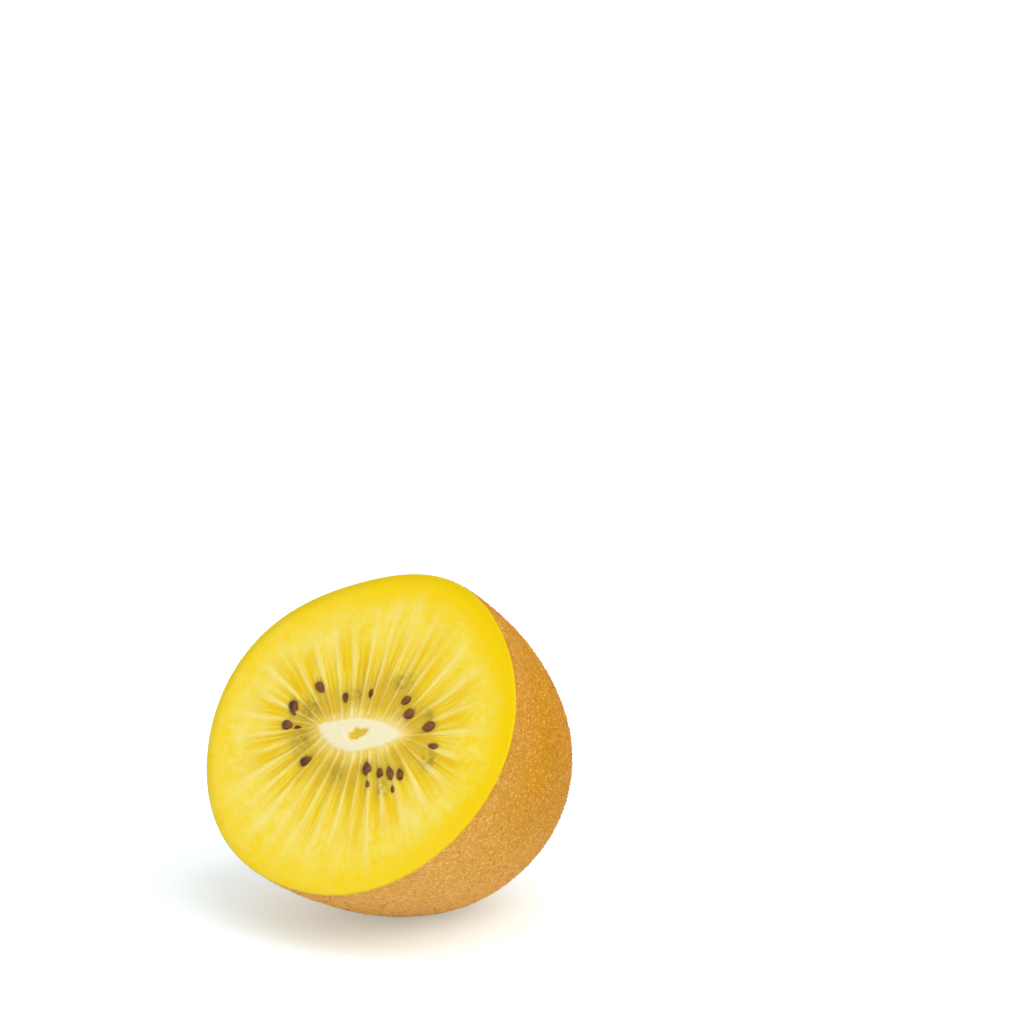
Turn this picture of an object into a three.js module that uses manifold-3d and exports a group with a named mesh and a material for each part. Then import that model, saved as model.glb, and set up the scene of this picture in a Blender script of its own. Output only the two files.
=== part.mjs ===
// Half a golden kiwi fruit, cut across and lying on its round side with the cut face up and forward.
// Millimetres, +Z up. The origin is the middle of the small flat spot that the fruit rests on.
import * as THREE from 'three';
import { mergeVertices } from 'three/addons/utils/BufferGeometryUtils.js';
import Module from 'manifold-3d';

// Lie of the fruit
const FACE_TILT = 34.7; // degrees from the level up to the direction that the cut face looks
const REST_DEPTH = 0.25; // how much of the round side the flat spot takes off
const LOWEST = new THREE.Vector3(-0.67, 12.71, -28.95); // lowest point, from the middle of the cut face

// Outline of the cut face: a mean radius with a two-, three-, four- and five-sided swell
// Each swell has its share of the radius and its direction in degrees
const RIM_RADIUS = 25.46;
const RIM_SWELLS = [[0.043, 0.6], [0.0125, 64.8], [0.0095, 73.4], [0.0068, 10]];
const RIM_BEVEL = 0.15; // the skin's edge curls back this far from the cut

// Body behind the cut: a round end like a blunt egg, whose middle line leans a little to one side
const BODY_LENGTH = 36.0;
const BODY_POWER = 1.97;
const BODY_ROOT = 2.745;
const LEAN_ACROSS = -0.028; // mm of shift for each mm behind the cut
const LEAN_UP = 0.075;
const BODY_STEPS = [0.05, 0.12, 0.2, 0.3, 0.4, 0.5, 0.6, 0.69, 0.77, 0.84, 0.895, 0.935, 0.965, 0.985];

// Stalk scar on the round end: a low corky ring about a shallow pit
const SCAR_RADIUS = 2.7;
const SCAR_HEIGHT = 0.45;
const SCAR_WIDTH = 0.8;
const PIT_DEPTH = 0.7;
const PIT_RADIUS = 1.5;
const SCAR_RINGS = [4.3, 3.5, 2.8, 2.1, 1.2, 0];

// Core in the middle of the cut face: an oval with slim ends, a little askew
const CORE_ACROSS = 7.9;
const CORE_UP = 2.75;
const CORE_SLIM = 0.14; // share taken off the height towards the ends
const CORE_SKEW = 0.9;
const CORE_TILT = 0.45;
const CORE_BOW = 0.33;
const CORE_SHIFT = new THREE.Vector2(0.15, -0.17);
const CORE_DOME = 0.3;
const CORE_PIT = new THREE.Vector2(-0.1, -0.35); // small ragged hollow
const CORE_PIT_DEPTH = 0.7;
const CORE_PIT_SIZE = [1.55, 0.85];
const CORE_PIT_TURN = 24; // degrees

// Locules round the core, with a thin pale wall between each two
const WALLS = 32;
const COLUMNS_PER_LOCULE = 3;
const WALL_SWINGS = [[4.31, 122], [3.99, 111], [1.84, 113]]; // degrees, direction, for 1, 2 and 3 turns
const WALL_TURN = 1.1;
const LOCULE_DEPTH = 0.22;
const LOCULE_REACH = 0.62; // locules end at this share of the way from the core to the rim
const FACE_STEPS = [-1, -0.6, -0.25, 0, 0.05, 0.12, 0.21, 0.32, 0.46, 0.6, 0.78, 0.94, 1];

// Seeds that the cut laid open: across, up, length, width, direction of the thin end in degrees
const SEEDS = [
  [-9.93, 5.25, 2.1, 1.2, -34],
  [-4.75, 4.5, 1.6, 0.8, -60],
  [-0.64, 5.86, 1.4, 0.7, -80],
  [5.79, 5.86, 1.7, 1.2, -128],
  [7.18, 4.07, 1.8, 1.45, -146],
  [11.4, 2.9, 2.1, 1.45, -156],
  [13.46, 0.21, 1.9, 0.95, 180],
  [-13.14, 1.46, 2.5, 1.4, -54],
  [-12.96, -1.18, 1.8, 1.45, 0],
  [-10.93, -1.29, 1.2, 0.7, 5],
  [-7.18, -5.75, 1.9, 1.3, 38],
  [3.79, -4.86, 2.1, 1.35, 121],
  [6.29, -5.1, 1.8, 0.95, 121],
  [8.07, -4.79, 2.3, 1.15, 131],
  [9.79, -4.68, 1.9, 0.95, 126],
  [5.07, -7.07, 1.5, 0.7, 119],
  [9.6, -7.0, 1.25, 0.6, 123],
];
const SEED_SINK = 0.3; // share of a seed's half width that its middle lies under the face
const SEED_DROP = 0.6; // share of the locules' depth that is added to it
const SEED_TAPER = 0.3;
const SEED_SIDES = 8;
const SEED_RINGS = 6;

// Block that cuts the flat spot
const BLOCK_SIDE = 40;
const BLOCK_HEIGHT = 10;

// Points closer than this are one
const WELD = 1e-4;

// Colours, and the places that tell which of them a triangle has
const SKIN_COLOUR = new THREE.Color('#b98a3e');
const FLESH_COLOUR = new THREE.Color('#f3d246');
const CORE_COLOUR = new THREE.Color('#f5ecc8');
const SEED_COLOUR = new THREE.Color('#5e3a2e');
const FACE_DEPTH = 0.8; // the face's triangles lie no deeper than this under the rim's bevel
const SKIN_LIP = 0.05; // the skin's begin this far inside the outline
const SEED_SPOT = 1.3; // a seed's lie this near to its middle
const SEED_RISE = 0.02; // and over this height

const radians = THREE.MathUtils.degToRad;
const columns = WALLS * COLUMNS_PER_LOCULE;

// Radius of the outline in a direction: evenness 0 is the cut face's own, 1 a circle
function rimRadius(angle, evenness = 0) {
  let swell = 0;
  RIM_SWELLS.forEach(([share, direction], i) => {
    swell += share * Math.cos((i + 2) * (angle - radians(direction)));
  });
  return RIM_RADIUS * (1 + swell * (1 - evenness));
}

// Edge of the core in a direction
function coreEdge(angle) {
  const x = CORE_ACROSS * Math.cos(angle) + CORE_SKEW * Math.sin(angle);
  const height = CORE_UP * ((1 - CORE_SLIM) * Math.sin(angle) - CORE_SLIM * Math.sin(3 * angle));
  const y = height + CORE_TILT * Math.cos(angle) + CORE_BOW * Math.cos(2 * angle);
  return new THREE.Vector2(x, y).add(CORE_SHIFT);
}

// Direction of a wall between two locules, by its number
function wallAngle(number) {
  const turn = number / WALLS * 2 * Math.PI;
  let swing = WALL_TURN;
  WALL_SWINGS.forEach(([size, direction], i) => {
    swing += size * Math.cos((i + 1) * turn - radians(direction));
  });
  return turn + radians(swing);
}

// Point of the cut face: share -1 is the middle of the core, 0 its edge and 1 the rim
function facePoint(angle, share) {
  const edge = coreEdge(angle);
  if (share < 0) return edge.sub(CORE_SHIFT).multiplyScalar(1 + share).add(CORE_SHIFT);
  const rim = new THREE.Vector2(Math.cos(angle), Math.sin(angle)).multiplyScalar(rimRadius(angle));
  return edge.lerp(rim, share);
}

// Height of the cut face over the plane of the cut
function faceHeight(angle, share, onWall) {
  if (share < 0) {
    const off = facePoint(angle, share).sub(CORE_PIT);
    off.rotateAround(new THREE.Vector2(), -radians(CORE_PIT_TURN));
    const apart = Math.hypot(off.x / CORE_PIT_SIZE[0], off.y / CORE_PIT_SIZE[1]);
    return CORE_DOME * (1 - (1 + share) ** 2) - CORE_PIT_DEPTH * Math.exp(-(apart ** 3));
  }
  if (onWall || share >= LOCULE_REACH) return 0;
  const along = Math.sin(Math.PI * Math.sqrt(share / LOCULE_REACH));
  return -LOCULE_DEPTH * along;
}

// Point of the skin: share is the depth behind the cut over the body's length
function skinPoint(angle, share, ring) {
  const depth = BODY_LENGTH * share;
  const radius = ring ?? rimRadius(angle, share) * (1 - share ** BODY_POWER) ** (1 / BODY_ROOT);
  const rise = ring === undefined ? 0 : scarHeight(ring);
  return new THREE.Vector3(
    radius * Math.cos(angle) + LEAN_ACROSS * depth,
    radius * Math.sin(angle) + LEAN_UP * depth,
    -depth - rise,
  );
}

// Height of the stalk scar over the round end, by the distance from its middle
function scarHeight(radius) {
  const ring = SCAR_HEIGHT * Math.exp(-(((radius - SCAR_RADIUS) / SCAR_WIDTH) ** 2));
  return ring - PIT_DEPTH * Math.exp(-((radius / PIT_RADIUS) ** 2));
}

// Depth share at which the round end has a given radius
function shareAtRadius(radius) {
  return (1 - (radius / RIM_RADIUS) ** BODY_ROOT) ** (1 / BODY_POWER);
}

// The fruit's body: a turned solid with one ring of points for each step, each point then moved to its place
function makeBody() {
  const rings = [];
  FACE_STEPS.forEach((share) => rings.push((angle, onWall) => {
    const flat = facePoint(angle, share);
    return new THREE.Vector3(flat.x, flat.y, share === 1 ? -RIM_BEVEL : faceHeight(angle, share, onWall));
  }));
  BODY_STEPS.forEach((share) => rings.push((angle) => skinPoint(angle, share)));
  SCAR_RINGS.forEach((radius) => rings.push((angle) => skinPoint(angle, shareAtRadius(radius), radius)));

  rings.reverse(); // from the round end to the middle of the face, so that the surface faces outwards
  const last = rings.length - 1;
  const profile = rings.map((ring, i) => {
    const turn = Math.PI * i / last;
    return new THREE.Vector2(Math.sin(turn), Math.cos(turn));
  });
  profile[0].x = 0;
  profile[last].x = 0;
  const body = new THREE.LatheGeometry(profile, columns);
  const places = body.getAttribute('position');
  for (let column = 0; column <= columns; column += 1) {
    const wall = (column % columns) / COLUMNS_PER_LOCULE;
    const before = Math.floor(wall);
    const angle = THREE.MathUtils.lerp(wallAngle(before), wallAngle(before + 1), wall - before);
    rings.forEach((ring, i) => {
      const point = ring(angle, wall === before);
      places.setXYZ(column * rings.length + i, point.x, point.y, point.z);
    });
  }
  return body;
}

// A seed: a small drop with its thin end at the core, half sunk in the face
function makeSeed([across, up, length, width, heading]) {
  const seed = new THREE.SphereGeometry(1, SEED_SIDES, SEED_RINGS);
  seed.rotateZ(Math.PI / 2);
  const points = seed.getAttribute('position');
  for (let i = 0; i < points.count; i += 1) {
    const taper = 1 - SEED_TAPER * points.getX(i);
    points.setXYZ(i, points.getX(i), points.getY(i) * taper, points.getZ(i) * taper);
  }
  seed.scale(length / 2, width / 2, width / 2);
  seed.rotateZ(radians(heading));
  seed.translate(across, up, -LOCULE_DEPTH * SEED_DROP - SEED_SINK * width / 2);
  return seed;
}

// A closed geometry as a solid, and a solid as a geometry
const wasm = await Module();
wasm.setup();

function toSolid(geometry) {
  const bare = geometry.clone();
  bare.deleteAttribute('normal');
  bare.deleteAttribute('uv');
  const merged = mergeVertices(bare, WELD);
  const corners = [];
  for (let i = 0; i < merged.index.count; i += 3) {
    const [a, b, c] = [0, 1, 2].map((k) => merged.index.getX(i + k));
    if (a !== b && b !== c && c !== a) corners.push(a, b, c);
  }
  const mesh = new wasm.Mesh({
    numProp: 3,
    vertProperties: merged.getAttribute('position').array,
    triVerts: new Uint32Array(corners),
  });
  return new wasm.Manifold(mesh);
}

function toGeometry(solid) {
  const { vertProperties, triVerts } = solid.getMesh();
  const geometry = new THREE.BufferGeometry();
  geometry.setAttribute('position', new THREE.BufferAttribute(vertProperties, 3));
  geometry.setIndex(new THREE.BufferAttribute(triVerts, 1));
  return geometry;
}

// Colour of each triangle, by where it lies in the frame of the cut face
function paint(geometry, toFace) {
  const loose = geometry.toNonIndexed();
  const places = loose.getAttribute('position');
  const colours = new Float32Array(places.count * 3);
  const middle = new THREE.Vector3();
  const seedSpots = SEEDS.map(([across, up]) => new THREE.Vector2(across, up));
  for (let i = 0; i < places.count; i += 3) {
    middle.set(0, 0, 0);
    for (let k = 0; k < 3; k += 1) {
      middle.add(new THREE.Vector3().fromBufferAttribute(places, i + k).divideScalar(3));
    }
    middle.applyMatrix4(toFace);
    const flat = new THREE.Vector2(middle.x, middle.y);
    const angle = Math.atan2(middle.y, middle.x);
    const inOutline = flat.length() < rimRadius(angle) - SKIN_LIP;
    let colour = SKIN_COLOUR;
    if (middle.z > -RIM_BEVEL - FACE_DEPTH && inOutline) colour = FLESH_COLOUR;
    const inCore = ((flat.x - CORE_SHIFT.x) / CORE_ACROSS) ** 2 + ((flat.y - CORE_SHIFT.y) / CORE_UP) ** 2;
    if (colour === FLESH_COLOUR && inCore < 1) colour = CORE_COLOUR;
    const near = Math.min(...seedSpots.map((spot) => spot.distanceTo(flat)));
    if (colour === FLESH_COLOUR && middle.z > SEED_RISE && near < SEED_SPOT) colour = SEED_COLOUR;
    for (let k = 0; k < 3; k += 1) colour.toArray(colours, (i + k) * 3);
  }
  loose.setAttribute('color', new THREE.BufferAttribute(colours, 3));
  loose.computeVertexNormals();
  return loose;
}

// The cut face's frame stood up in the part's frame, with the round side's lowest point over the origin
const lie = new THREE.Matrix4().makeRotationX(radians(90 - FACE_TILT));
lie.premultiply(new THREE.Matrix4().makeTranslation(-LOWEST.x, -LOWEST.y, -LOWEST.z - REST_DEPTH));

let fruit = toSolid(makeBody());
SEEDS.forEach((seed) => {
  fruit = fruit.add(toSolid(makeSeed(seed)));
});
const lying = toGeometry(fruit).applyMatrix4(lie);
const below = new THREE.BoxGeometry(BLOCK_SIDE, BLOCK_SIDE, BLOCK_HEIGHT).translate(0, 0, -BLOCK_HEIGHT / 2);
const rested = toGeometry(toSolid(lying).subtract(toSolid(below)));

const half = new THREE.Mesh(
  paint(rested, lie.clone().invert()),
  new THREE.MeshStandardMaterial({ vertexColors: true, roughness: 0.45, metalness: 0 }),
);
half.name = 'kiwi_half';

const part = new THREE.Group();
part.name = 'golden_kiwi_half';
part.add(half);

export default part;
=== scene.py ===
# Half a golden kiwi fruit: a finer cut face, skin and seeds than the solid's, and short hairs on the skin.
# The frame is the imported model's, in metres. Lengths named here are in millimetres and directions in degrees.
import math

import bpy
import numpy as np
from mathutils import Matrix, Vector


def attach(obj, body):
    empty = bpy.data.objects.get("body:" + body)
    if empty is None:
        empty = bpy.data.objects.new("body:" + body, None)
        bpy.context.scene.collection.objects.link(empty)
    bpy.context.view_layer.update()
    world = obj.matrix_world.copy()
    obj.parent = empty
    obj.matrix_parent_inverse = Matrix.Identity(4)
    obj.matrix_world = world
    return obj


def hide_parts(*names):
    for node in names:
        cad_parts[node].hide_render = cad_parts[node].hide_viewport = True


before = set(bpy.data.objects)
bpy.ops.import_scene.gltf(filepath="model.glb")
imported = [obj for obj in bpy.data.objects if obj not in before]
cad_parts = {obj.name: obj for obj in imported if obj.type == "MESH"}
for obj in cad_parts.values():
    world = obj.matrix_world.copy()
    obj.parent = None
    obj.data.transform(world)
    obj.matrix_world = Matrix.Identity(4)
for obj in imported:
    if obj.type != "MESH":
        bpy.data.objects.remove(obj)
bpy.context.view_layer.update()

MM = 0.001

# Lie of the fruit: how far above the level the cut face looks, what the flat spot takes off the round side,
# and the round side's lowest point from the middle of the cut face
FACE_TILT = 34.7
REST_DEPTH = 0.25
LOWEST = (-0.67, 12.71, -28.95)

# Outline of the cut face: a mean radius, and swells with their sides, share of the radius and direction
RIM_RADIUS = 25.46
RIM_SWELLS = ((2, 0.043, 0.6), (3, 0.0125, 64.8), (4, 0.0095, 73.4), (5, 0.0068, 10.0))

# The skin's edge curls back by the bevel, and the face is level just inside it
RIM_BEVEL = 0.15
BEVEL_START = 0.985
LEVEL_BAND = (0.9, 0.98)

# Body behind the cut: a round end like a blunt egg, whose middle line leans a little. The power and the root
# shape its outline from the side.
BODY_LENGTH = 36.0
BODY_POWER = 1.97
BODY_ROOT = 2.745
LEAN_ACROSS = -0.028
LEAN_UP = 0.075

# Skin's mesh: its columns and rings, the rings close behind the rim and where they end, as shares of the
# body's length, the radius of the smallest ring, and the radii over which circles turn into the outline
SKIN_COLUMNS = 512
SKIN_RINGS = 141
NEAR_RIM = (0.0, 0.008, 0.016)
NEAR_RIM_END = 0.02
SMALLEST_RING = 0.15
OUTLINE_BAND = (3, 7)

# Low lumps that wind round the body, and where along and across it they begin
LUMP_HEIGHT = 0.06
LUMPS_AROUND = 3
LUMP_TWIST = 9
LUMPS_ALONG = 8
LUMP_BEND = 2
LUMP_DEPTH_BAND = (0.05, 0.3)
LUMP_RADIUS_BAND = (4, 9)

# Stalk scar: a low ragged ring about a shallow pit. Each rag has its crests, height and start in radians.
SCAR_RADIUS = 2.7
SCAR_HEIGHT = 0.45
SCAR_WIDTH = 0.8
SCAR_RAGS = ((7, 0.1, 0), (13, 0.06, 1))
PIT_DEPTH = 0.7
PIT_RADIUS = 1.5
PIT_SHADE_BAND = (0.3, 0.8)

# Side of the skin with painted shade, where it is painted darker and browner: its direction, its share at the
# rim, what it loses at the round end, and the bands along the body where it grows and where it is lost
PAINTED_SHADE_DIRECTION = 40
PAINTED_SHADE_AT_RIM = 0.6
PAINTED_SHADE_RIM_BAND = (0.0, 0.3)
PAINTED_SHADE_LOSS = 0.8
PAINTED_SHADE_LOSS_BAND = (0.6, 1.0)

# Core: an oval with slim ends, a little askew, and its small ragged hollow
CORE_ACROSS = 7.9
CORE_UP = 2.75
CORE_SLIM = 0.14
CORE_SKEW = 0.9
CORE_TILT = 0.45
CORE_BOW = 0.33
CORE_SHIFT = (0.15, -0.17)
CORE_DOME = 0.3
CORE_PIT = (-0.1, -0.35)
CORE_PIT_DEPTH = 0.7
CORE_PIT_SIZE = (1.55, 0.85)
CORE_PIT_TURN = 24
CORE_PIT_RAGS = ((3, 0.1, 2.2), (4, 0.12, 1.1), (7, 0.06, 0))
CORE_PIT_STEEPNESS = 5

# Locules and the walls between them. The walls' directions swing by waves of one, two and three crests,
# each with its size and direction.
WALLS = 32
COLUMNS_PER_LOCULE = 20
WALL_SWINGS = ((4.31, 122), (3.99, 111), (1.84, 113))
WALL_TURN = 1.1
WALL_RIDGE = 0.32
LOCULE_DEPTH = 0.22
LOCULE_REACH = 0.62

# Fine crumple of the cut face: two crossed waves, each with its rate, its bend and the rate of the bend.
# It begins at the core's edge and is lower by the rim.
CRUMPLE_HEIGHT = 0.035
CRUMPLE_ACROSS = (5.1, 1.3, 4.3)
CRUMPLE_UP = (4.7, 1.1, 3.9)
CRUMPLE_START_BAND = (0, 0.06)
CRUMPLE_LOSS = 0.6
CRUMPLE_LOSS_BAND = (0.5, 0.9)

# Stretches of the cut face's rings, from the middle of the core at -1 past its edge at 0 to the rim at 1:
# start, end and number of rings
FACE_STRETCHES = ((-1, 0, 21), (0, 0.35, 41), (0.35, 0.9, 41), (0.9, 0.988, 7), (0.988, 1, 3))

# Seeds: across, up, length, width, direction of the thin end, and how far the flesh covers it
SEEDS = (
    (-9.93, 5.25, 2.1, 1.2, -34, 0.0),
    (-4.75, 4.5, 1.6, 0.8, -60, 0.3),
    (-0.64, 5.86, 1.4, 0.7, -80, 0.7),
    (5.79, 5.86, 1.7, 1.2, -128, 0.2),
    (7.18, 4.07, 1.8, 1.45, -146, 0.0),
    (11.4, 2.9, 2.1, 1.45, -156, 0.0),
    (13.46, 0.21, 1.9, 0.95, 180, 0.25),
    (-13.14, 1.46, 2.5, 1.4, -54, 0.0),
    (-12.96, -1.18, 1.8, 1.45, 0, 0.1),
    (-10.93, -1.29, 1.2, 0.7, 5, 0.6),
    (-7.18, -5.75, 1.9, 1.3, 38, 0.0),
    (3.79, -4.86, 2.1, 1.35, 121, 0.0),
    (6.29, -5.1, 1.8, 0.95, 121, 0.15),
    (8.07, -4.79, 2.3, 1.15, 131, 0.0),
    (9.79, -4.68, 1.9, 0.95, 126, 0.15),
    (5.07, -7.07, 1.5, 0.7, 119, 0.55),
    (9.6, -7.0, 1.25, 0.6, 123, 0.6),
)
SEED_TAPER = 0.3
SEED_COLUMNS = 20
SEED_RINGS = 14

# How far a seed's middle lies under the face: a share of the locules' depth, and shares of its half width
SEED_DROP = 0.6
SEED_SINK = 0.3
COVERED_SINK = 0.25

# Dip of the flesh round a seed, and the shade that a seed gives it
DIP_DEPTH = 0.16
DIP_REACH = 1.25
DIP_STEEPNESS = 4
SHADE_START = 0.8
SHADE_REACH = 0.6

# Seeds that lie just under the flesh and show through it as an olive shade: across, up, size
BURIED = (
    (4.1, 8.4, 1.7),
    (13.7, -1.8, 1.5),
    (-0.9, -6.6, 1.2),
    (-9.3, -2.9, 1.8),
    (-9.9, 1.9, 1.6),
    (10.9, 4.4, 0.9),
    (-2.9, 5.2, 1.0),
    (7.9, -7.3, 1.3),
)

# Hairs: slim stubs, laid nearly flat on the skin. Their lengths run from a least share up by a spread. The
# tip rises over the root, the crest is a little way along, and the heel and both sides are sunk in the skin.
HAIRS = 14000
HAIR_SEED = 7
DRAWS_PER_HAIR = 5
HAIR_CORNERS = 5
HAIR_LENGTH = 0.42
HAIR_LEAST = 0.6
HAIR_SPREAD = 0.8
HAIR_WIDTH = 0.16
HAIR_RISE = 0.14
HAIR_HEEL = 0.06
HAIR_CREST_ALONG = 0.12
HAIR_CREST_RISE = 0.07
HAIR_SINK = 0.03

# No hair stands nearer to the floor than the clearance or before the first ring, and the margin added to each
# ring's radius lets a few stand at the tip
HAIR_CLEARANCE = 0.25
FIRST_HAIR_RING = 3
TIP_MARGIN = 0.5

# Camera: its direction, and the pixel and scale at which the middle of the cut face is seen
VIEW_TURN = 41.2
VIEW_RISE = 15
VIEW_DISTANCE = 600
PIXELS_PER_MM = 7.08
FACE_PIXEL = (356.3, 730.1)
PICTURE_SIZE = 1024
SENSOR_WIDTH = 36

# Floor, in metres, and the light: the sky's strength by the height of its direction, and one broad high lamp
FLOOR_REACH = 3.0
FLOOR_COLOUR = (0.86, 0.9, 0.92, 1)
FLOOR_GLOW = (0.76, 0.97, 1, 1)
FLOOR_GLOW_STRENGTH = 0.31
SKY_HEIGHTS = (0.05, 0.5)
SKY_STRENGTHS = (0.42, 0.74)
LAMP_STRENGTH = 1.6
LAMP_SPREAD = 70
LAMP_PLACE = (0.7, -0.05, 0.75)

# Tones, as they look
FLESH_TONES = {
    "outer_left": "f7df62",
    "outer_right": "f8da34",
    "blotch": "f7d30e",
    "speckle": "fae98e",
    "streak": "f9e98a",
    "golden_dark": "e0b61a",
    "golden_light": "f0cd22",
    "golden_end": "f3cc00",
    "golden_side": "eabc00",
    "thread": "f5e266",
    "tan": "c8a230",
    "olive": "a18c38",
    "wall": "f9e898",
    "rim": "f8d200",
    "rim_olive": "c6b000",
    "rim_lip": "e2b800",
    "core_dark": "f3e6b8",
    "core_light": "f8eecc",
    "pit_dark": "dda908",
    "pit_light": "fbdc3c",
}
SKIN_TONES = {
    "tanned_dark": "c48e26",
    "tanned_light": "d09a38",
    # Painted shade: the brown tones, and the shaded scurf and fleck, are the skin's colours on its shaded side
    "shaded_brown_dark": "aa7400",
    "shaded_brown_light": "ba8200",
    "scurf": "dca464",
    "shaded_scurf": "c88400",
    "fleck": "ecb87c",
    "shaded_fleck": "f0a850",
    "red": "b8601e",
    "scar": "a8672c",
    "scar_pit": "4a2f1b",
    "sheen": "e0a868",
}
HAIR_TONES = {
    "tan_dark": "dd8a30",
    "tan_light": "ecae58",
    # Painted shade: the shaded hair tones are for hairs on the shaded side of the skin
    "shaded_hair_dark": "d8840c",
    "shaded_hair_light": "eaa638",
}
SEED_TONES = {"dark": "54280c", "light": "7e451c"}

# The flesh's tones change across the face by a level, a share to the right and a share up
OUTER_SLOPE = (0.5, 0.3, 0.15)
RIM_SLOPE = (0.82, 0.16, 0.14)
RIM_OLIVE_SLOPE = (0.26, -0.26, 0.14)

# Factors that give each wall and each locule an even draw of its own, and the reaches that the draws give
WALL_DRAW = 0.618034
WALL_END = (0.62, 0.3)
LOCULE_DRAW = 0.381966
LOCULE_END = (0.52, 0.2)

# Layers of pale flecks on the skin: cells in a metre, and a fleck's share of a cell
FLECKS = ((1400, 0.28), (2100, 0.24))


# Shape helpers
def smooth(low, high, value):
    share = np.clip((value - low) / (high - low), 0, 1)
    return share * share * (3 - 2 * share)


def turned(x, y, degrees):
    turn = math.radians(degrees)
    return x * math.cos(turn) - y * math.sin(turn), x * math.sin(turn) + y * math.cos(turn)


def rags(angle, waves):
    """Waves round a ring, each with its number of crests, height and start."""
    return sum(height * np.sin(crests * angle + start) for crests, height, start in waves)


def bent_wave(along, aside, wave):
    rate, bend, bend_rate = wave
    return np.sin(rate * along + bend * np.sin(bend_rate * aside))


def rim_radius(angle, evenness=0.0):
    """Radius of the outline: evenness 0 is the cut face's own, 1 a circle."""
    swell = sum(share * np.cos(sides * (angle - math.radians(turn))) for sides, share, turn in RIM_SWELLS)
    return RIM_RADIUS * (1 + swell * (1 - evenness))


def core_edge(angle):
    x = CORE_ACROSS * np.cos(angle) + CORE_SKEW * np.sin(angle) + CORE_SHIFT[0]
    height = CORE_UP * ((1 - CORE_SLIM) * np.sin(angle) - CORE_SLIM * np.sin(3 * angle))
    y = height + CORE_TILT * np.cos(angle) + CORE_BOW * np.cos(2 * angle) + CORE_SHIFT[1]
    return x, y


def wall_angle(number):
    turn = number / WALLS * 2 * math.pi
    swing = WALL_TURN
    for i, (size, direction) in enumerate(WALL_SWINGS):
        swing = swing + size * np.cos((i + 1) * turn - math.radians(direction))
    return turn + np.radians(swing)


def face_point(angle, share):
    """Share -1 is the middle of the core, 0 its edge and 1 the rim."""
    edge_x, edge_y = core_edge(angle)
    rim = rim_radius(angle)
    inner = 1 + np.minimum(share, 0)
    outer = np.maximum(share, 0)
    x = CORE_SHIFT[0] + (edge_x - CORE_SHIFT[0]) * inner
    y = CORE_SHIFT[1] + (edge_y - CORE_SHIFT[1]) * inner
    return x + (rim * np.cos(angle) - edge_x) * outer, y + (rim * np.sin(angle) - edge_y) * outer


def pit_shape(x, y):
    """1 in the core's small ragged hollow and 0 outside it."""
    off_x, off_y = turned(x - CORE_PIT[0], y - CORE_PIT[1], -CORE_PIT_TURN)
    ragged = 1 + rags(np.arctan2(off_y, off_x), CORE_PIT_RAGS)
    apart = np.hypot(off_x / CORE_PIT_SIZE[0], off_y / CORE_PIT_SIZE[1]) / ragged
    return np.exp(-(apart**CORE_PIT_STEEPNESS))


def face_height(x, y, share, off_wall):
    """Height of the flesh over the plane of the cut, without the seeds and the rim's bevel."""
    core = CORE_DOME * (1 - (1 + np.minimum(share, 0)) ** 2)
    core = core - CORE_PIT_DEPTH * pit_shape(x, y)
    hollow = np.sin(math.pi * np.sqrt(np.clip(share / LOCULE_REACH, 0, 1)))
    across = 1 - np.exp(-((off_wall / WALL_RIDGE) ** 2))
    locule = -LOCULE_DEPTH * hollow * across
    crumple = CRUMPLE_HEIGHT * bent_wave(x, y, CRUMPLE_ACROSS) * bent_wave(y, x, CRUMPLE_UP)
    crumple = crumple * smooth(*CRUMPLE_START_BAND, share)
    return core + locule + crumple * (1 - CRUMPLE_LOSS * smooth(*CRUMPLE_LOSS_BAND, share))


def seed_marks(face_x, face_y):
    """How much the flesh dips round the seeds, and how much of their shade it has."""
    dip = np.zeros(face_x.shape)
    shade = np.zeros(face_x.shape)
    for x, y, length, width, heading, cover in SEEDS:
        along, side = turned(face_x - x, face_y - y, -heading)
        apart = np.hypot(along / (length / 2), side / (width / 2))
        dip = dip + DIP_DEPTH * (1 - cover) * np.exp(-((apart / DIP_REACH) ** DIP_STEEPNESS))
        shade = np.maximum(shade, np.exp(-((np.maximum(apart - SHADE_START, 0) / SHADE_REACH) ** 2)))
    return dip, shade


def buried_shade(face_x, face_y):
    shade = np.zeros(face_x.shape)
    for x, y, size in BURIED:
        apart = np.hypot(face_x - x, face_y - y) / size
        shade = np.maximum(shade, np.exp(-(apart**2)))
    return shade


def painted_shade_side(angle, depth_share):
    """Up to 1 on the side of the skin with painted shade, and 0 on the other side."""
    side = smooth(0.0, 1.0, np.cos(angle - math.radians(PAINTED_SHADE_DIRECTION)))
    by_rim = PAINTED_SHADE_AT_RIM + (1 - PAINTED_SHADE_AT_RIM) * smooth(*PAINTED_SHADE_RIM_BAND, depth_share)
    return side * by_rim * (1 - PAINTED_SHADE_LOSS * smooth(*PAINTED_SHADE_LOSS_BAND, depth_share))


# The cut face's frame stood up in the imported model's
TILT = math.radians(90 - FACE_TILT)
STAND_TURN = np.array(
    [[1, 0, 0], [0, math.cos(TILT), -math.sin(TILT)], [0, math.sin(TILT), math.cos(TILT)]]
)
STAND_SHIFT = np.array([-LOWEST[0], -LOWEST[1], -LOWEST[2] - REST_DEPTH])


def stand(points):
    return points @ STAND_TURN.T + STAND_SHIFT


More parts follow.
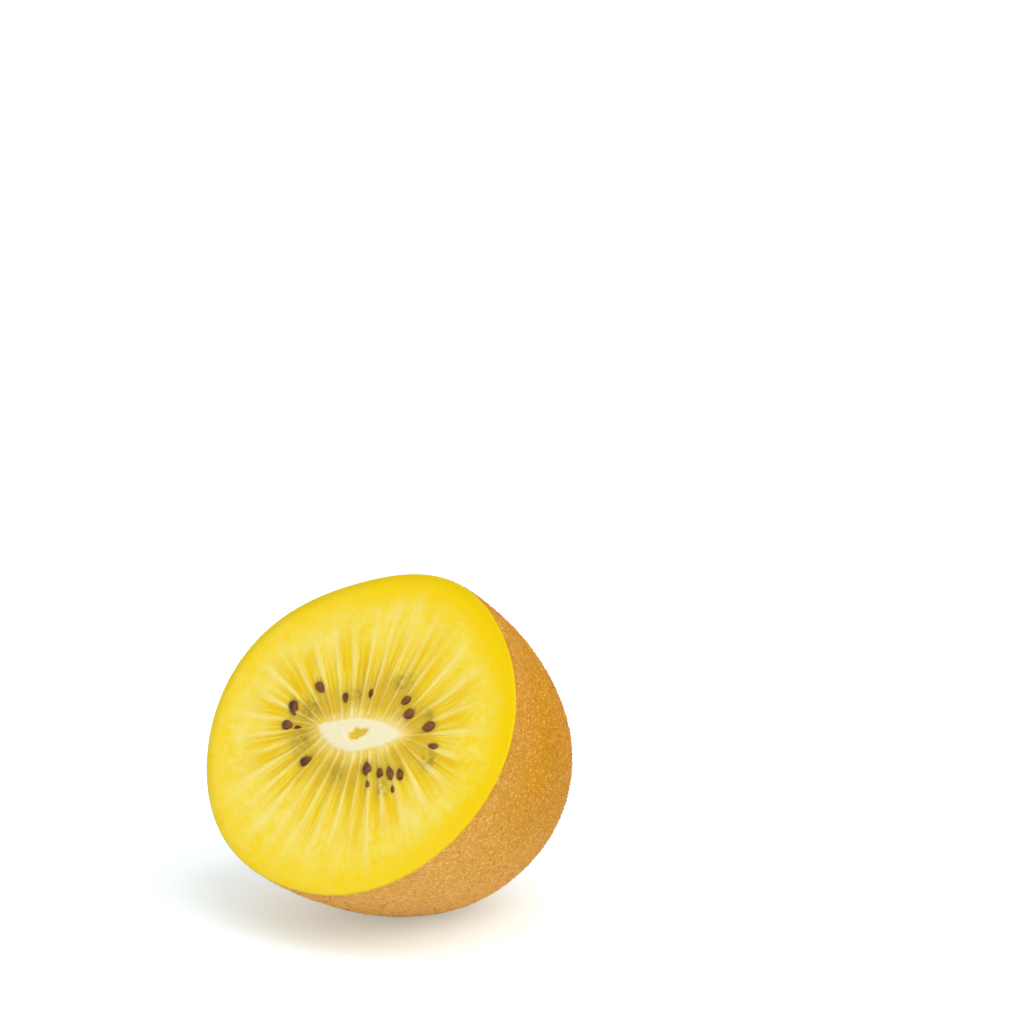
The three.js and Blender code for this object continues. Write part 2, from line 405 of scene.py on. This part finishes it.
def make_piece(name, points, faces, material, fields=None):
    """A piece that rides the root, from points in the cut face's frame, and flat where it meets the floor."""
    placed = stand(points)
    placed[:, 2] = np.maximum(placed[:, 2], 0.0)
    mesh = bpy.data.meshes.new(name)
    mesh.from_pydata((placed * MM).tolist(), [], faces)
    for field, values in (fields or {}).items():
        layer = mesh.attributes.new(field, "FLOAT", "POINT")
        layer.data.foreach_set("value", np.asarray(values, dtype=np.float32))
    mesh.materials.append(material)
    mesh.shade_smooth()
    mesh.update()
    piece = bpy.data.objects.new(name, mesh)
    bpy.context.scene.collection.objects.link(piece)
    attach(piece, "root")
    return piece


def ring_faces(columns, rings, start=0, flip=False):
    faces = []
    for ring in range(rings - 1):
        for column in range(columns):
            right = (column + 1) % columns
            a = start + ring * columns + column
            b = start + ring * columns + right
            c = b + columns
            d = a + columns
            faces.append((a, d, c, b) if flip else (a, b, c, d))
    return faces


def with_last(grid, value):
    """A grid's values in one row, and one for the point that closes the mesh."""
    return np.append(grid.reshape(-1), value)


# Node helpers. Distances in a material are in metres, and scales count in a metre.
class Nodes:
    """A new material, with short names for the nodes that it is made of."""

    def __init__(self, name, tones):
        self.material = bpy.data.materials.new(name)
        self.material.use_nodes = True
        self.tree = self.material.node_tree
        self.shader = self.tree.nodes["Principled BSDF"]
        self.tone = {tone: colour(text) for tone, text in tones.items()}

    def link(self, socket, value):
        if isinstance(value, bpy.types.NodeSocket):
            self.tree.links.new(value, socket)
        else:
            socket.default_value = value

    def set(self, socket, value):
        self.link(self.shader.inputs[socket], value)

    def field(self, name):
        node = self.tree.nodes.new("ShaderNodeAttribute")
        node.attribute_name = name
        return node.outputs["Fac"]

    def place(self):
        return self.tree.nodes.new("ShaderNodeTexCoord").outputs["Object"]

    def math(self, kind, first, second=0.0):
        node = self.tree.nodes.new("ShaderNodeMath")
        node.operation = kind
        self.link(node.inputs[0], first)
        self.link(node.inputs[1], second)
        return node.outputs[0]

    def plus(self, first, second):
        return self.math("ADD", first, second)

    def minus(self, first, second):
        return self.math("SUBTRACT", first, second)

    def times(self, first, second):
        return self.math("MULTIPLY", first, second)

    def over(self, first, second):
        return self.math("DIVIDE", first, second)

    def step(self, value, low, high, to_low=0.0, to_high=1.0):
        node = self.tree.nodes.new("ShaderNodeMapRange")
        node.interpolation_type = "SMOOTHSTEP"
        self.link(node.inputs["Value"], value)
        node.inputs["From Min"].default_value = low
        node.inputs["From Max"].default_value = high
        node.inputs["To Min"].default_value = to_low
        node.inputs["To Max"].default_value = to_high
        return node.outputs["Result"]

    def fall(self, value, low, high):
        return self.step(value, low, high, to_low=1.0, to_high=0.0)

    def wobble(self, noise, size):
        """A noise about 0."""
        return self.times(self.minus(noise, 0.5), size)

    def mix(self, share, first, second):
        node = self.tree.nodes.new("ShaderNodeMix")
        node.data_type = "RGBA"
        self.link(node.inputs["Factor"], share)
        self.link(node.inputs["A"], first)
        self.link(node.inputs["B"], second)
        return node.outputs["Result"]

    def noise(self, scale, detail, rough, vector=None):
        node = self.tree.nodes.new("ShaderNodeTexNoise")
        self.link(node.inputs["Vector"], self.place() if vector is None else vector)
        node.inputs["Scale"].default_value = scale
        node.inputs["Detail"].default_value = detail
        node.inputs["Roughness"].default_value = rough
        return node.outputs["Fac"]

    def cells(self, scale):
        """Distance from the middle of the nearest cell."""
        node = self.tree.nodes.new("ShaderNodeTexVoronoi")
        self.link(node.inputs["Vector"], self.place())
        node.inputs["Scale"].default_value = scale
        return node.outputs["Distance"]

    def bump(self, height, strength, distance, normal=None):
        node = self.tree.nodes.new("ShaderNodeBump")
        node.inputs["Strength"].default_value = strength
        node.inputs["Distance"].default_value = distance
        self.link(node.inputs["Height"], height)
        if normal is not None:
            self.link(node.inputs["Normal"], normal)
        return node.outputs["Normal"]

    def combine(self, x, y, z):
        node = self.tree.nodes.new("ShaderNodeCombineXYZ")
        self.link(node.inputs[0], x)
        self.link(node.inputs[1], y)
        self.link(node.inputs[2], z)
        return node.outputs[0]


def colour(text):
    """A colour written as it looks, as linear values."""
    parts = [int(text[i : i + 2], 16) / 255 for i in (0, 2, 4)]
    linear = [c / 12.92 if c <= 0.04045 else ((c + 0.055) / 1.055) ** 2.4 for c in parts]
    return (*linear, 1.0)


class Flesh(Nodes):
    """Cut face: pale walls, golden locules, even outer flesh and a rich rim, with the core in the middle."""

    def __init__(self):
        super().__init__("golden_flesh", FLESH_TONES)
        self.reach = self.field("reach")
        self.off_wall = self.field("off_wall")
        self.turn_x = self.field("turn_x")
        self.turn_y = self.field("turn_y")
        self.fine = self.noise(scale=1100, detail=4, rough=0.6)
        self.middling = self.noise(scale=420, detail=2, rough=0.5)
        self.broad = self.noise(scale=170, detail=3, rough=0.55)
        self.ragged_reach = self.plus(self.reach, self.wobble(self.broad, 0.14))
        self.thin_spokes = self.spokes(turns=34, rings=3)
        self.wide_spokes = self.spokes(turns=9, rings=2)

    def spokes(self, turns, rings):
        """Noise drawn out along the rays."""
        around = (self.times(self.turn_x, turns), self.times(self.turn_y, turns))
        place = self.combine(*around, self.times(self.reach, rings))
        return self.noise(scale=1, detail=2, rough=0.5, vector=place)

    def end(self, field, factor, reaches):
        """Where a wall or a locule ends: the least reach, and an even draw's share of the second."""
        draw = self.math("FRACT", self.times(self.field(field), WALLS * factor))
        return self.plus(self.times(draw, reaches[1]), reaches[0])

    def facing(self, level, to_right, up):
        """A share that changes evenly across the face."""
        slope = self.plus(self.times(self.turn_x, to_right), self.times(self.turn_y, up))
        return self.plus(slope, level)

    def wall_share(self):
        """1 on a wall, which is narrow and faint by the core."""
        wall_end = self.end("wall_number", WALL_DRAW, WALL_END)
        fade = self.fall(self.over(self.reach, wall_end), 0.5, 1.15)
        width = self.plus(self.times(self.reach, 0.32), 0.08)
        ragged_wall = self.plus(self.off_wall, self.wobble(self.fine, 0.2))
        on_wall = self.fall(self.over(ragged_wall, width), 0.0, 2.2)
        strength = self.step(self.reach, 0.04, 0.45, to_low=0.2, to_high=0.68)
        broken = self.step(self.thin_spokes, 0.3, 0.6, to_low=0.5)
        return self.times(self.times(self.times(on_wall, fade), strength), broken)

    def outer(self):
        """Even flesh, mottled in saturation more than in brightness."""
        base = self.mix(self.facing(*OUTER_SLOPE), self.tone["outer_left"], self.tone["outer_right"])
        blotch = self.step(self.middling, 0.46, 0.62, to_high=0.6)
        base = self.mix(blotch, base, self.tone["blotch"])
        speckle = self.step(self.fine, 0.48, 0.6, to_high=0.3)
        base = self.mix(speckle, base, self.tone["speckle"])
        return self.mix(self.step(self.wide_spokes, 0.48, 0.7, to_high=0.4), base, self.tone["streak"])

    def golden(self):
        """The locules' own tone, more vivid at their outer ends and at the sides, with paler threads."""
        base = self.mix(
            self.step(self.wide_spokes, 0.35, 0.65), self.tone["golden_dark"], self.tone["golden_light"]
        )
        base = self.mix(self.step(self.ragged_reach, 0.3, 0.5, to_high=0.7), base, self.tone["golden_end"])
        to_sides = self.times(self.turn_x, self.turn_x)
        base = self.mix(self.times(to_sides, 0.45), base, self.tone["golden_side"])
        return self.mix(self.step(self.thin_spokes, 0.42, 0.66, to_high=0.6), base, self.tone["thread"])

    def locules(self, outer):
        """Golden out to each locule's own end, tan by the seeds and olive over the buried ones."""
        past_end = self.minus(self.ragged_reach, self.end("locule_number", LOCULE_DRAW, LOCULE_END))
        base = self.mix(self.fall(past_end, -0.24, 0.12), outer, self.golden())
        tan_band = self.times(self.step(self.reach, 0.02, 0.1), self.fall(self.ragged_reach, 0.2, 0.34))
        base = self.mix(self.times(tan_band, 0.45), base, self.tone["tan"])
        seen = self.step(self.fine, 0.42, 0.56, to_low=0.3)
        buried = self.times(self.times(self.field("buried"), seen), 0.9)
        olive = self.math("MAXIMUM", self.times(self.field("seed_shade"), 0.5), buried)
        return self.mix(olive, base, self.tone["olive"])

    def with_rim(self, flesh):
        """The rim grows richer, then a little olive, and is golden on its lip."""
        rich = self.times(self.step(self.ragged_reach, 0.66, 0.94), self.facing(*RIM_SLOPE))
        flesh = self.mix(rich, flesh, self.tone["rim"])
        olive = self.times(self.step(self.reach, 0.9, 1.0), self.facing(*RIM_OLIVE_SLOPE))
        flesh = self.mix(olive, flesh, self.tone["rim_olive"])
        lip = self.step(self.reach, BEVEL_START, 0.996, to_high=0.45)
        return self.mix(lip, flesh, self.tone["rim_lip"])

    def with_core(self, flesh):
        """Creamy, with a soft ragged edge that runs out into the walls, and a golden pit."""
        ragged_edge = self.plus(self.reach, self.wobble(self.middling, 0.2))
        into_walls = self.step(self.off_wall, 0.0, 0.7, to_low=0.02, to_high=-0.02)
        core_share = self.fall(self.minus(ragged_edge, into_walls), -0.17, 0.13)
        cream = self.mix(self.fine, self.tone["core_dark"], self.tone["core_light"])
        surface = self.mix(core_share, flesh, cream)
        gold = self.mix(self.fine, self.tone["pit_dark"], self.tone["pit_light"])
        return self.mix(self.step(self.field("pit"), 0.15, 0.7, to_high=0.95), surface, gold)


def make_flesh():
    n = Flesh()
    flesh = n.mix(n.wall_share(), n.locules(n.outer()), n.tone["wall"])
    n.set("Base Color", n.with_core(n.with_rim(flesh)))
    n.set("Roughness", n.step(n.fine, 0.3, 0.7, to_low=0.3, to_high=0.45))
    n.shader.inputs["Subsurface Weight"].default_value = 0.3
    n.shader.inputs["Subsurface Radius"].default_value = (1.0, 0.62, 0.14)
    n.shader.inputs["Subsurface Scale"].default_value = 0.0009
    n.shader.inputs["Specular IOR Level"].default_value = 0.07
    n.shader.inputs["Coat Weight"].default_value = 0.03
    n.shader.inputs["Coat Roughness"].default_value = 0.16
    grain = n.plus(n.times(n.fine, 0.7), n.cells(1500))
    n.set("Normal", n.bump(grain, strength=0.35, distance=0.00012))
    return n.material


def make_skin():
    """Golden brown under a close stipple of tan scurf, with pale and reddish flecks."""
    n = Nodes("kiwi_skin", SKIN_TONES)
    broad = n.noise(scale=75, detail=3, rough=0.5)
    fine = n.noise(scale=2200, detail=3, rough=0.6)
    grain = n.noise(scale=1000, detail=2, rough=0.55)
    # Painted shade: where this share is high, the base, scurf and flecks take darker, browner tones, as if that
    # side were shaded
    painted_shade_share = n.plus(n.field("painted_shade_side"), n.wobble(broad, 0.6))

    light_share = n.step(broad, 0.35, 0.65)
    tanned = n.mix(light_share, n.tone["tanned_dark"], n.tone["tanned_light"])
    brown = n.mix(light_share, n.tone["shaded_brown_dark"], n.tone["shaded_brown_light"])
    base = n.mix(painted_shade_share, tanned, brown)
    scurf = n.step(n.plus(n.times(fine, 0.6), n.times(grain, 0.4)), 0.36, 0.64)
    scurf_tone = n.mix(painted_shade_share, n.tone["scurf"], n.tone["shaded_scurf"])
    base = n.mix(n.times(scurf, 0.7), base, scurf_tone)

    fleck_tone = n.mix(painted_shade_share, n.tone["fleck"], n.tone["shaded_fleck"])
    fleck_strength = n.step(broad, 0.3, 0.7, to_low=0.45, to_high=0.9)
    for scale, size in FLECKS:
        fleck = n.fall(n.cells(scale), size * 0.6, size * 1.3)
        base = n.mix(n.times(fleck, fleck_strength), base, fleck_tone)
    red = n.fall(n.cells(1150), 0.1, 0.24)
    base = n.mix(n.times(red, 0.4), base, n.tone["red"])
    base = n.mix(n.field("scar"), base, n.tone["scar"])
    base = n.mix(n.field("scar_pit"), base, n.tone["scar_pit"])

    n.set("Base Color", base)
    n.set("Roughness", n.step(fine, 0.3, 0.7, to_low=0.55, to_high=0.75))
    n.shader.inputs["Subsurface Weight"].default_value = 0.05
    n.shader.inputs["Subsurface Radius"].default_value = (1.0, 0.5, 0.15)
    n.shader.inputs["Subsurface Scale"].default_value = 0.001
    n.shader.inputs["Specular IOR Level"].default_value = 0.04
    n.shader.inputs["Sheen Weight"].default_value = 0.02
    n.shader.inputs["Sheen Roughness"].default_value = 0.5
    n.shader.inputs["Sheen Tint"].default_value = n.tone["sheen"]
    stipple = n.bump(scurf, strength=0.4, distance=0.0001)
    unevenness = n.noise(scale=160, detail=3, rough=0.5)
    n.set("Normal", n.bump(unevenness, strength=0.25, distance=0.0005, normal=stipple))
    return n.material


def make_hair_material():
    n = Nodes("skin_hair", HAIR_TONES)
    noise = n.noise(scale=900, detail=1, rough=0.5)
    light_share = n.step(noise, 0.42, 0.58)
    tan = n.mix(light_share, n.tone["tan_dark"], n.tone["tan_light"])
    rich = n.mix(light_share, n.tone["shaded_hair_dark"], n.tone["shaded_hair_light"])
    # Painted shade: hairs on the shaded side take the darker, richer tones
    n.set("Base Color", n.mix(n.field("painted_shade_side"), tan, rich))
    n.set("Roughness", n.step(noise, 0.3, 0.7, to_low=0.5, to_high=0.65))
    n.shader.inputs["Specular IOR Level"].default_value = 0.1
    return n.material


def make_seed_material():
    n = Nodes("seed", SEED_TONES)
    noise = n.noise(scale=500, detail=2, rough=0.5)
    n.set("Base Color", n.mix(n.step(noise, 0.35, 0.65), n.tone["dark"], n.tone["light"]))
    n.set("Roughness", n.step(noise, 0.3, 0.7, to_low=0.25, to_high=0.4))
    n.shader.inputs["Specular IOR Level"].default_value = 0.3
    n.shader.inputs["Coat Weight"].default_value = 0.08
    n.shader.inputs["Coat Roughness"].default_value = 0.15
    n.set("Normal", n.bump(n.cells(2600), strength=0.35, distance=0.00008))
    return n.material


# Cut face
def make_cut_face():
    columns = WALLS * COLUMNS_PER_LOCULE
    position = np.arange(columns) / COLUMNS_PER_LOCULE
    before = np.floor(position)
    part_way = position - before
    angles = wall_angle(before) * (1 - part_way) + wall_angle(before + 1) * part_way
    nearest = (before + (part_way > 0.5)) % WALLS

    stretches = [np.linspace(start, end, rings, endpoint=False) for start, end, rings in FACE_STRETCHES]
    steps = np.append(np.concatenate(stretches)[1:], 1.0)
    share, angle = np.meshgrid(steps, angles, indexing="ij")
    off_wall = np.broadcast_to(2 * np.minimum(part_way, 1 - part_way), share.shape)
    x, y = face_point(angle, share)
    dip, shade = seed_marks(x, y)
    height = face_height(x, y, share, off_wall) - dip
    height = height * (1 - smooth(*LEVEL_BAND, share)) - RIM_BEVEL * smooth(BEVEL_START, 1.0, share) ** 2

    points = np.stack([x, y, height], axis=-1).reshape(-1, 3)
    points = np.vstack([points, [[*CORE_SHIFT, float(np.mean(height[0]))]]])
    middle = len(points) - 1
    faces = ring_faces(columns, len(steps), flip=True)
    faces += [(middle, column, (column + 1) % columns) for column in range(columns)]
    fields = {
        "reach": with_last(share, -1),
        "off_wall": with_last(off_wall, 1),
        "wall_number": with_last(np.broadcast_to(nearest / WALLS, share.shape), 0),
        "locule_number": with_last(np.broadcast_to(before / WALLS, share.shape), 0),
        "seed_shade": with_last(shade, 0),
        "buried": with_last(buried_shade(x, y), 0),
        "pit": with_last(pit_shape(x, y), 1),
        "turn_x": with_last(np.cos(angle), 0),
        "turn_y": with_last(np.sin(angle), 0),
    }
    return make_piece("cut_face", points, faces, make_flesh(), fields)


# Skin, from its thin edge round the cut to the stalk scar on the round end
def skin_steps():
    """Depth and radius of each ring, as shares of the body's length and of the rim's radius."""
    rise = np.linspace(0, math.pi / 2, SKIN_RINGS)
    depth_share = np.sin(rise) ** (2 / BODY_POWER)
    depth_share = np.concatenate([NEAR_RIM, depth_share[depth_share > NEAR_RIM_END]])
    radius_share = (1 - np.minimum(depth_share, 1) ** BODY_POWER) ** (1 / BODY_ROOT)
    wide = radius_share * RIM_RADIUS > SMALLEST_RING
    return depth_share[wide], radius_share[wide]


def skin_surface(depth_share, radius_share, angle):
    """Points of the skin, and how much of the scar's ring and pit is at each."""
    uneven = smooth(*OUTLINE_BAND, radius_share * RIM_RADIUS)
    radius = radius_share * (rim_radius(angle, depth_share) * uneven + RIM_RADIUS * (1 - uneven))
    scar = np.exp(-(((radius - SCAR_RADIUS - rags(angle, SCAR_RAGS)) / SCAR_WIDTH) ** 2))
    pit = np.exp(-((radius / PIT_RADIUS) ** 2))
    winding = np.sin(LUMPS_AROUND * angle + LUMP_TWIST * depth_share)
    waving = np.sin(LUMPS_ALONG * depth_share + LUMP_BEND * np.cos(angle))
    lump_share = smooth(*LUMP_DEPTH_BAND, depth_share) * smooth(*LUMP_RADIUS_BAND, radius)
    radius = radius + LUMP_HEIGHT * winding * waving * lump_share
    depth = BODY_LENGTH * depth_share
    bevel = np.where(depth_share == 0, RIM_BEVEL, 0)
    x = radius * np.cos(angle) + LEAN_ACROSS * depth
    y = radius * np.sin(angle) + LEAN_UP * depth
    return np.stack([x, y, -depth - SCAR_HEIGHT * scar + PIT_DEPTH * pit - bevel], axis=-1), scar, pit


def make_skin_piece(grid, scar, pit, painted_shade_share):
    rings, columns = scar.shape
    tip = [LEAN_ACROSS * BODY_LENGTH, LEAN_UP * BODY_LENGTH, -BODY_LENGTH + PIT_DEPTH]
    points = np.vstack([grid.reshape(-1, 3), [tip]])
    faces = ring_faces(columns, rings)
    last = (rings - 1) * columns
    faces += [(last + column, last + (column + 1) % columns, len(points) - 1) for column in range(columns)]
    fields = {
        "painted_shade_side": with_last(painted_shade_share, 0.5),
        "scar": with_last(scar, 0),
        "scar_pit": with_last(smooth(*PIT_SHADE_BAND, pit), 1),
    }
    return make_piece("kiwi_skin", points, faces, make_skin(), fields)


# Seeds: drops with a slim end at the core, half sunk in the flesh
def seed_block():
    """A drop one unit long each way from its middle, with its thin end on +X."""
    polar = np.linspace(0, math.pi, SEED_RINGS)[1:-1]
    round_way = np.arange(SEED_COLUMNS) / SEED_COLUMNS * 2 * math.pi
    polar, round_way = np.meshgrid(polar, round_way, indexing="ij")
    along = np.cos(polar)
    taper = 1 - SEED_TAPER * along
    across = np.sin(polar) * np.cos(round_way) * taper
    up = np.sin(polar) * np.sin(round_way) * taper
    block = np.stack([along, across, up], axis=-1).reshape(-1, 3)
    return np.vstack([block, [[1, 0, 0], [-1, 0, 0]]])


def seed_faces(start):
    rings = SEED_RINGS - 2
    faces = ring_faces(SEED_COLUMNS, rings, start, flip=True)
    front = start + rings * SEED_COLUMNS
    last = start + (rings - 1) * SEED_COLUMNS
    for column in range(SEED_COLUMNS):
        right = (column + 1) % SEED_COLUMNS
        faces.append((front, start + column, start + right))
        faces.append((front + 1, last + right, last + column))
    return faces


def make_seeds():
    points = []
    faces = []
    drop = seed_block()
    for number, (x, y, length, width, heading, cover) in enumerate(SEEDS):
        block = drop * [length / 2, width / 2, width / 2]
        across, up = turned(block[:, 0], block[:, 1], heading)
        sink = LOCULE_DEPTH * SEED_DROP + (SEED_SINK + COVERED_SINK * cover) * width / 2
        points.append(np.stack([across + x, up + y, block[:, 2] - sink], axis=-1))
        faces += seed_faces(number * len(drop))
    return make_piece("seeds", np.vstack(points), faces, make_seed_material())


# Hairs, spread evenly over the skin
def hair_roots(draws, depth_share, radius_share):
    """Ring and column of the skin's mesh that each hair stands in."""
    ring_length = np.hypot(
        np.diff(radius_share * RIM_RADIUS, append=0), np.diff(depth_share * BODY_LENGTH, append=BODY_LENGTH)
    )
    rings = len(depth_share)
    weight = np.cumsum(ring_length * (radius_share * RIM_RADIUS + TIP_MARGIN))
    ring_at = np.interp(draws[:, 0] * weight[-1], weight, np.arange(rings))
    ring = np.clip(ring_at.astype(int), FIRST_HAIR_RING, rings - 2)
    return ring, (draws[:, 1] * SKIN_COLUMNS).astype(int)


def make_hairs(grid, depth_share, radius_share, angles):
    draws = np.random.default_rng(HAIR_SEED).random((HAIRS, DRAWS_PER_HAIR))
    ring, column = hair_roots(draws, depth_share, radius_share)
    root = grid[ring, column]
    down = grid[ring + 1, column] - root
    across = grid[ring, (column + 1) % SKIN_COLUMNS] - root
    root = root + down * draws[:, 2:3] + across * draws[:, 3:4]
    outward = np.cross(down, across)
    outward /= np.linalg.norm(outward, axis=1, keepdims=True)
    along = down / np.linalg.norm(down, axis=1, keepdims=True)
    turn = draws[:, 4:5] * 2 * math.pi
    flat_way = along * np.cos(turn) + np.cross(outward, along) * np.sin(turn)
    cross_way = np.cross(outward, flat_way) * HAIR_WIDTH / 2
    length = HAIR_LENGTH * (HAIR_LEAST + HAIR_SPREAD * draws[:, 2:3])
    sunk = root - outward * HAIR_SINK
    crest = root + flat_way * HAIR_CREST_ALONG + outward * HAIR_CREST_RISE
    tip = root + flat_way * length + outward * HAIR_RISE
    corners = [crest, tip, sunk + cross_way, sunk - flat_way * HAIR_HEEL, sunk - cross_way]

    clear = stand(root)[:, 2] > HAIR_CLEARANCE
    points = np.stack(corners, axis=1)[clear]
    faces = []
    for start in range(0, HAIR_CORNERS * len(points), HAIR_CORNERS):
        top, point, left, back, right = range(start, start + HAIR_CORNERS)
        faces += [(top, left, point), (top, back, left), (top, right, back), (top, point, right)]
    painted_shade_share = painted_shade_side(angles[column], depth_share[ring])[clear]
    fields = {"painted_shade_side": np.repeat(painted_shade_share, HAIR_CORNERS)}
    return make_piece("skin_hairs", points.reshape(-1, 3), faces, make_hair_material(), fields)


# Camera, floor and light
def look(thing, place, at):
    thing.location = Vector(place)
    thing.rotation_euler = (Vector(at) - Vector(place)).to_track_quat("-Z", "Y").to_euler()


def add_camera():
    turn = math.radians(VIEW_TURN)
    rise = math.radians(VIEW_RISE)
    towards = np.array([math.sin(turn) * math.cos(rise), -math.cos(turn) * math.cos(rise), math.sin(rise)])
    right_way = np.array([math.cos(turn), math.sin(turn), 0])
    up_way = np.cross(towards, right_way)
    picture_middle = PICTURE_SIZE / 2
    aim = STAND_SHIFT + right_way * (picture_middle - FACE_PIXEL[0]) / PIXELS_PER_MM
    aim = aim + up_way * (FACE_PIXEL[1] - picture_middle) / PIXELS_PER_MM
    eye = STAND_SHIFT + towards * VIEW_DISTANCE
    data = bpy.data.cameras.new("camera")
    data.sensor_width = SENSOR_WIDTH
    data.lens = SENSOR_WIDTH * VIEW_DISTANCE * PIXELS_PER_MM / PICTURE_SIZE
    data.clip_start = 0.01
    camera = bpy.data.objects.new("camera", data)
    bpy.context.scene.collection.objects.link(camera)
    look(camera, (eye * MM).tolist(), (aim * MM).tolist())
    bpy.context.scene.camera = camera


def add_floor():
    mesh = bpy.data.meshes.new("floor")
    corners = [(x * FLOOR_REACH, y * FLOOR_REACH, 0) for x, y in ((-1, -1), (1, -1), (1, 1), (-1, 1))]
    mesh.from_pydata(corners, [], [(0, 1, 2, 3)])
    floor = bpy.data.objects.new("floor", mesh)
    bpy.context.scene.collection.objects.link(floor)
    n = Nodes("floor", {})
    n.set("Base Color", FLOOR_COLOUR)
    n.set("Emission Color", FLOOR_GLOW)
    n.set("Emission Strength", FLOOR_GLOW_STRENGTH)
    n.set("Roughness", 0.8)
    mesh.materials.append(n.material)


def add_sky():
    """Soft studio light, dim near the horizon and bright overhead."""
    world = bpy.data.worlds.new("studio")
    world.use_nodes = True
    sky = world.node_tree
    direction = sky.nodes.new("ShaderNodeTexCoord").outputs["Generated"]
    parts = sky.nodes.new("ShaderNodeSeparateXYZ")
    sky.links.new(direction, parts.inputs[0])
    brightness = sky.nodes.new("ShaderNodeMapRange")
    brightness.interpolation_type = "SMOOTHSTEP"
    sky.links.new(parts.outputs["Z"], brightness.inputs["Value"])
    brightness.inputs["From Min"].default_value = SKY_HEIGHTS[0]
    brightness.inputs["From Max"].default_value = SKY_HEIGHTS[1]
    brightness.inputs["To Min"].default_value = SKY_STRENGTHS[0]
    brightness.inputs["To Max"].default_value = SKY_STRENGTHS[1]
    background = sky.nodes["Background"]
    background.inputs["Color"].default_value = (1, 1, 1, 1)
    sky.links.new(brightness.outputs["Result"], background.inputs["Strength"])
    bpy.context.scene.world = world


def add_lamp():
    data = bpy.data.lights.new("high_soft_light", "SUN")
    data.energy = LAMP_STRENGTH
    data.angle = math.radians(LAMP_SPREAD)
    lamp = bpy.data.objects.new("high_soft_light", data)
    bpy.context.scene.collection.objects.link(lamp)
    look(lamp, LAMP_PLACE, (0, 0, 0))


# The fruit
depth_steps, radius_steps = skin_steps()
skin_angles = np.arange(SKIN_COLUMNS) / SKIN_COLUMNS * 2 * math.pi
depth_grid, angle_grid = np.meshgrid(depth_steps, skin_angles, indexing="ij")
radius_grid = np.meshgrid(radius_steps, skin_angles, indexing="ij")[0]
skin_grid, scar_share, pit_share = skin_surface(depth_grid, radius_grid, angle_grid)

flesh = make_cut_face()
skin = make_skin_piece(skin_grid, scar_share, pit_share, painted_shade_side(angle_grid, depth_grid))
seeds = make_seeds()
hairs = make_hairs(skin_grid, depth_steps, radius_steps, skin_angles)
for piece in (flesh, skin, seeds, hairs):
    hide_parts("kiwi_half")

# The studio
add_camera()
add_floor()
add_sky()
add_lamp()
bpy.context.scene.view_settings.view_transform = "Standard"
bpy.context.scene.view_settings.look = "None"
